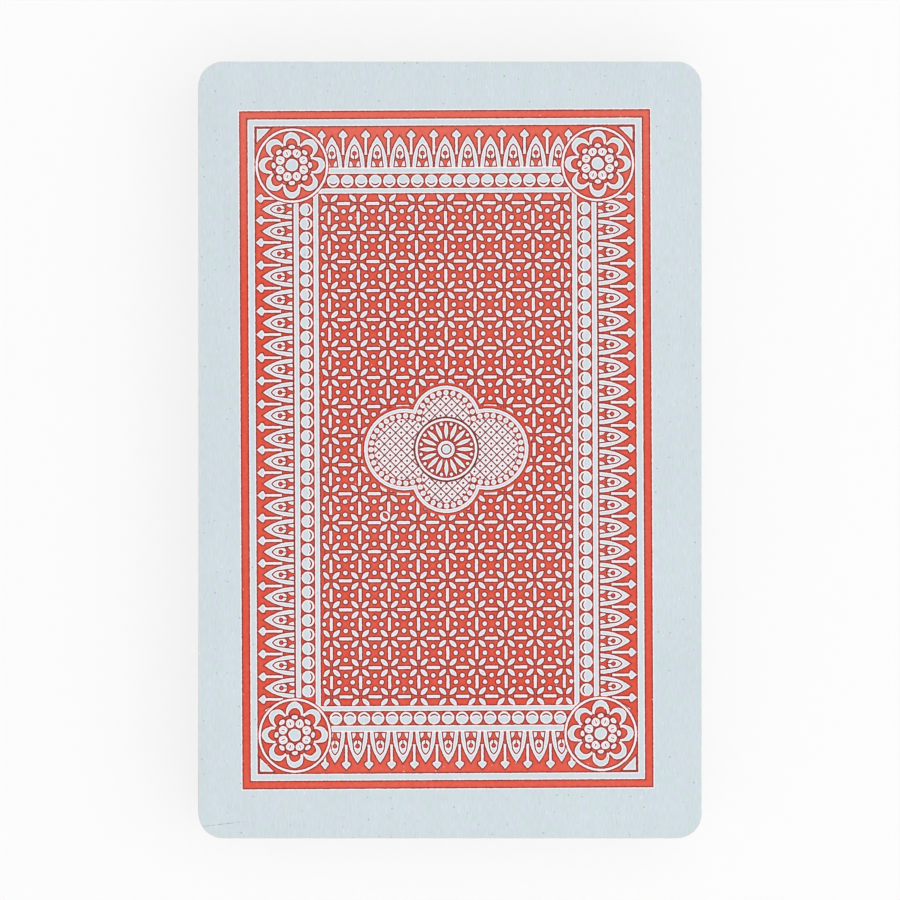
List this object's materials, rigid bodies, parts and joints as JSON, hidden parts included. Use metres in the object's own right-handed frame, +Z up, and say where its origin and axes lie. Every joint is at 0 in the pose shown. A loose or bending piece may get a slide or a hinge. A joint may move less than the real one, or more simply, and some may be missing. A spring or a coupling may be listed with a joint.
{
  "type": "playing card deck",
  "caption": "Squared deck of bridge-size playing cards lying face down, each card a loose die-cut leaf that slides out sideways.",
  "frame": {"origin": "middle of the deck on the table, at the face of the bottom card", "axes": "+Z up out of the table towards the printed backs, +Y along the long edges, +X along the short edges"},
  "size_m": [0.0576, 0.0884, 0.0162],
  "materials": {
    "card_stock": "smooth coated card, satin",
    "red_ink": "printed red under a satin coating",
    "black_ink": "printed black under a satin coating"
  },
  "bodies": {
    "joker_one": {"joker_one": "card_stock"},
    "joker_two": {"joker_two": "card_stock"},
    "ace_of_spades": {"ace_of_spades": "card_stock"},
    "two_of_spades": {"two_of_spades": "card_stock"},
    "three_of_spades": {"three_of_spades": "card_stock"},
    "four_of_spades": {"four_of_spades": "card_stock"},
    "five_of_spades": {"five_of_spades": "card_stock"},
    "six_of_spades": {"six_of_spades": "card_stock"},
    "seven_of_spades": {"seven_of_spades": "card_stock"},
    "eight_of_spades": {"eight_of_spades": "card_stock"},
    "nine_of_spades": {"nine_of_spades": "card_stock"},
    "ten_of_spades": {"ten_of_spades": "card_stock"},
    "jack_of_spades": {"jack_of_spades": "card_stock"},
    "queen_of_spades": {"queen_of_spades": "card_stock"},
    "king_of_spades": {"king_of_spades": "card_stock"},
    "ace_of_diamonds": {"ace_of_diamonds": "card_stock"},
    "two_of_diamonds": {"two_of_diamonds": "card_stock"},
    "three_of_diamonds": {"three_of_diamonds": "card_stock"},
    "four_of_diamonds": {"four_of_diamonds": "card_stock"},
    "five_of_diamonds": {"five_of_diamonds": "card_stock"},
    "six_of_diamonds": {"six_of_diamonds": "card_stock"},
    "seven_of_diamonds": {"seven_of_diamonds": "card_stock"},
    "eight_of_diamonds": {"eight_of_diamonds": "card_stock"},
    "nine_of_diamonds": {"nine_of_diamonds": "card_stock"},
    "ten_of_diamonds": {"ten_of_diamonds": "card_stock"},
    "jack_of_diamonds": {"jack_of_diamonds": "card_stock"},
    "queen_of_diamonds": {"queen_of_diamonds": "card_stock"},
    "king_of_diamonds": {"king_of_diamonds": "card_stock"},
    "king_of_clubs": {"king_of_clubs": "card_stock"},
    "queen_of_clubs": {"queen_of_clubs": "card_stock"},
    "jack_of_clubs": {"jack_of_clubs": "card_stock"},
    "ten_of_clubs": {"ten_of_clubs": "card_stock"},
    "nine_of_clubs": {"nine_of_clubs": "card_stock"},
    "eight_of_clubs": {"eight_of_clubs": "card_stock"},
    "seven_of_clubs": {"seven_of_clubs": "card_stock"},
    "six_of_clubs": {"six_of_clubs": "card_stock"},
    "five_of_clubs": {"five_of_clubs": "card_stock"},
    "four_of_clubs": {"four_of_clubs": "card_stock"},
    "three_of_clubs": {"three_of_clubs": "card_stock"},
    "two_of_clubs": {"two_of_clubs": "card_stock"},
    "ace_of_clubs": {"ace_of_clubs": "card_stock"},
    "king_of_hearts": {"king_of_hearts": "card_stock"},
    "queen_of_hearts": {"queen_of_hearts": "card_stock"},
    "jack_of_hearts": {"jack_of_hearts": "card_stock"},
    "ten_of_hearts": {"ten_of_hearts": "card_stock"},
    "nine_of_hearts": {"nine_of_hearts": "card_stock"},
    "eight_of_hearts": {"eight_of_hearts": "card_stock"},
    "seven_of_hearts": {"seven_of_hearts": "card_stock"},
    "six_of_hearts": {"six_of_hearts": "card_stock"},
    "five_of_hearts": {"five_of_hearts": "card_stock"},
    "four_of_hearts": {"four_of_hearts": "card_stock"},
    "three_of_hearts": {"three_of_hearts": "card_stock"},
    "two_of_hearts": {"two_of_hearts": "card_stock"},
    "ace_of_hearts": {"ace_of_hearts": "card_stock"}
  },
  "joints": [
    {"name": "ace_of_hearts_slide", "type": "slide", "parent": "joker_one", "child": "ace_of_hearts", "axis": [1, 0, 0], "range_m": [-0.06, 0.06]},
    {"name": "two_of_hearts_slide", "type": "slide", "parent": "joker_one", "child": "two_of_hearts", "axis": [1, 0, 0], "range_m": [-0.06, 0.06]},
    {"name": "three_of_hearts_slide", "type": "slide", "parent": "joker_one", "child": "three_of_hearts", "axis": [1, 0, 0], "range_m": [-0.06, 0.06]},
    {"name": "four_of_hearts_slide", "type": "slide", "parent": "joker_one", "child": "four_of_hearts", "axis": [1, 0, 0], "range_m": [-0.06, 0.06]},
    {"name": "five_of_hearts_slide", "type": "slide", "parent": "joker_one", "child": "five_of_hearts", "axis": [1, 0, 0], "range_m": [-0.06, 0.06]},
    {"name": "six_of_hearts_slide", "type": "slide", "parent": "joker_one", "child": "six_of_hearts", "axis": [1, 0, 0], "range_m": [-0.06, 0.06]},
    {"name": "seven_of_hearts_slide", "type": "slide", "parent": "joker_one", "child": "seven_of_hearts", "axis": [1, 0, 0], "range_m": [-0.06, 0.06]},
    {"name": "eight_of_hearts_slide", "type": "slide", "parent": "joker_one", "child": "eight_of_hearts", "axis": [1, 0, 0], "range_m": [-0.06, 0.06]},
    {"name": "nine_of_hearts_slide", "type": "slide", "parent": "joker_one", "child": "nine_of_hearts", "axis": [1, 0, 0], "range_m": [-0.06, 0.06]},
    {"name": "ten_of_hearts_slide", "type": "slide", "parent": "joker_one", "child": "ten_of_hearts", "axis": [1, 0, 0], "range_m": [-0.06, 0.06]},
    {"name": "jack_of_hearts_slide", "type": "slide", "parent": "joker_one", "child": "jack_of_hearts", "axis": [1, 0, 0], "range_m": [-0.06, 0.06]},
    {"name": "queen_of_hearts_slide", "type": "slide", "parent": "joker_one", "child": "queen_of_hearts", "axis": [1, 0, 0], "range_m": [-0.06, 0.06]},
    {"name": "king_of_hearts_slide", "type": "slide", "parent": "joker_one", "child": "king_of_hearts", "axis": [1, 0, 0], "range_m": [-0.06, 0.06]},
    {"name": "ace_of_clubs_slide", "type": "slide", "parent": "joker_one", "child": "ace_of_clubs", "axis": [1, 0, 0], "range_m": [-0.06, 0.06]},
    {"name": "two_of_clubs_slide", "type": "slide", "parent": "joker_one", "child": "two_of_clubs", "axis": [1, 0, 0], "range_m": [-0.06, 0.06]},
    {"name": "three_of_clubs_slide", "type": "slide", "parent": "joker_one", "child": "three_of_clubs", "axis": [1, 0, 0], "range_m": [-0.06, 0.06]},
    {"name": "four_of_clubs_slide", "type": "slide", "parent": "joker_one", "child": "four_of_clubs", "axis": [1, 0, 0], "range_m": [-0.06, 0.06]},
    {"name": "five_of_clubs_slide", "type": "slide", "parent": "joker_one", "child": "five_of_clubs", "axis": [1, 0, 0], "range_m": [-0.06, 0.06]},
    {"name": "six_of_clubs_slide", "type": "slide", "parent": "joker_one", "child": "six_of_clubs", "axis": [1, 0, 0], "range_m": [-0.06, 0.06]},
    {"name": "seven_of_clubs_slide", "type": "slide", "parent": "joker_one", "child": "seven_of_clubs", "axis": [1, 0, 0], "range_m": [-0.06, 0.06]},
    {"name": "eight_of_clubs_slide", "type": "slide", "parent": "joker_one", "child": "eight_of_clubs", "axis": [1, 0, 0], "range_m": [-0.06, 0.06]},
    {"name": "nine_of_clubs_slide", "type": "slide", "parent": "joker_one", "child": "nine_of_clubs", "axis": [1, 0, 0], "range_m": [-0.06, 0.06]},
    {"name": "ten_of_clubs_slide", "type": "slide", "parent": "joker_one", "child": "ten_of_clubs", "axis": [1, 0, 0], "range_m": [-0.06, 0.06]},
    {"name": "jack_of_clubs_slide", "type": "slide", "parent": "joker_one", "child": "jack_of_clubs", "axis": [1, 0, 0], "range_m": [-0.06, 0.06]},
    {"name": "queen_of_clubs_slide", "type": "slide", "parent": "joker_one", "child": "queen_of_clubs", "axis": [1, 0, 0], "range_m": [-0.06, 0.06]},
    {"name": "king_of_clubs_slide", "type": "slide", "parent": "joker_one", "child": "king_of_clubs", "axis": [1, 0, 0], "range_m": [-0.06, 0.06]},
    {"name": "king_of_diamonds_slide", "type": "slide", "parent": "joker_one", "child": "king_of_diamonds", "axis": [1, 0, 0], "range_m": [-0.06, 0.06]},
    {"name": "queen_of_diamonds_slide", "type": "slide", "parent": "joker_one", "child": "queen_of_diamonds", "axis": [1, 0, 0], "range_m": [-0.06, 0.06]},
    {"name": "jack_of_diamonds_slide", "type": "slide", "parent": "joker_one", "child": "jack_of_diamonds", "axis": [1, 0, 0], "range_m": [-0.06, 0.06]},
    {"name": "ten_of_diamonds_slide", "type": "slide", "parent": "joker_one", "child": "ten_of_diamonds", "axis": [1, 0, 0], "range_m": [-0.06, 0.06]},
    {"name": "nine_of_diamonds_slide", "type": "slide", "parent": "joker_one", "child": "nine_of_diamonds", "axis": [1, 0, 0], "range_m": [-0.06, 0.06]},
    {"name": "eight_of_diamonds_slide", "type": "slide", "parent": "joker_one", "child": "eight_of_diamonds", "axis": [1, 0, 0], "range_m": [-0.06, 0.06]},
    {"name": "seven_of_diamonds_slide", "type": "slide", "parent": "joker_one", "child": "seven_of_diamonds", "axis": [1, 0, 0], "range_m": [-0.06, 0.06]},
    {"name": "six_of_diamonds_slide", "type": "slide", "parent": "joker_one", "child": "six_of_diamonds", "axis": [1, 0, 0], "range_m": [-0.06, 0.06]},
    {"name": "five_of_diamonds_slide", "type": "slide", "parent": "joker_one", "child": "five_of_diamonds", "axis": [1, 0, 0], "range_m": [-0.06, 0.06]},
    {"name": "four_of_diamonds_slide", "type": "slide", "parent": "joker_one", "child": "four_of_diamonds", "axis": [1, 0, 0], "range_m": [-0.06, 0.06]},
    {"name": "three_of_diamonds_slide", "type": "slide", "parent": "joker_one", "child": "three_of_diamonds", "axis": [1, 0, 0], "range_m": [-0.06, 0.06]},
    {"name": "two_of_diamonds_slide", "type": "slide", "parent": "joker_one", "child": "two_of_diamonds", "axis": [1, 0, 0], "range_m": [-0.06, 0.06]},
    {"name": "ace_of_diamonds_slide", "type": "slide", "parent": "joker_one", "child": "ace_of_diamonds", "axis": [1, 0, 0], "range_m": [-0.06, 0.06]},
    {"name": "king_of_spades_slide", "type": "slide", "parent": "joker_one", "child": "king_of_spades", "axis": [1, 0, 0], "range_m": [-0.06, 0.06]},
    {"name": "queen_of_spades_slide", "type": "slide", "parent": "joker_one", "child": "queen_of_spades", "axis": [1, 0, 0], "range_m": [-0.06, 0.06]},
    {"name": "jack_of_spades_slide", "type": "slide", "parent": "joker_one", "child": "jack_of_spades", "axis": [1, 0, 0], "range_m": [-0.06, 0.06]},
    {"name": "ten_of_spades_slide", "type": "slide", "parent": "joker_one", "child": "ten_of_spades", "axis": [1, 0, 0], "range_m": [-0.06, 0.06]},
    {"name": "nine_of_spades_slide", "type": "slide", "parent": "joker_one", "child": "nine_of_spades", "axis": [1, 0, 0], "range_m": [-0.06, 0.06]},
    {"name": "eight_of_spades_slide", "type": "slide", "parent": "joker_one", "child": "eight_of_spades", "axis": [1, 0, 0], "range_m": [-0.06, 0.06]},
    {"name": "seven_of_spades_slide", "type": "slide", "parent": "joker_one", "child": "seven_of_spades", "axis": [1, 0, 0], "range_m": [-0.06, 0.06]},
    {"name": "six_of_spades_slide", "type": "slide", "parent": "joker_one", "child": "six_of_spades", "axis": [1, 0, 0], "range_m": [-0.06, 0.06]},
    {"name": "five_of_spades_slide", "type": "slide", "parent": "joker_one", "child": "five_of_spades", "axis": [1, 0, 0], "range_m": [-0.06, 0.06]},
    {"name": "four_of_spades_slide", "type": "slide", "parent": "joker_one", "child": "four_of_spades", "axis": [1, 0, 0], "range_m": [-0.06, 0.06]},
    {"name": "three_of_spades_slide", "type": "slide", "parent": "joker_one", "child": "three_of_spades", "axis": [1, 0, 0], "range_m": [-0.06, 0.06]},
    {"name": "two_of_spades_slide", "type": "slide", "parent": "joker_one", "child": "two_of_spades", "axis": [1, 0, 0], "range_m": [-0.06, 0.06]},
    {"name": "ace_of_spades_slide", "type": "slide", "parent": "joker_one", "child": "ace_of_spades", "axis": [1, 0, 0], "range_m": [-0.06, 0.06]},
    {"name": "joker_two_slide", "type": "slide", "parent": "joker_one", "child": "joker_two", "axis": [1, 0, 0], "range_m": [-0.06, 0.06]}
  ]
}
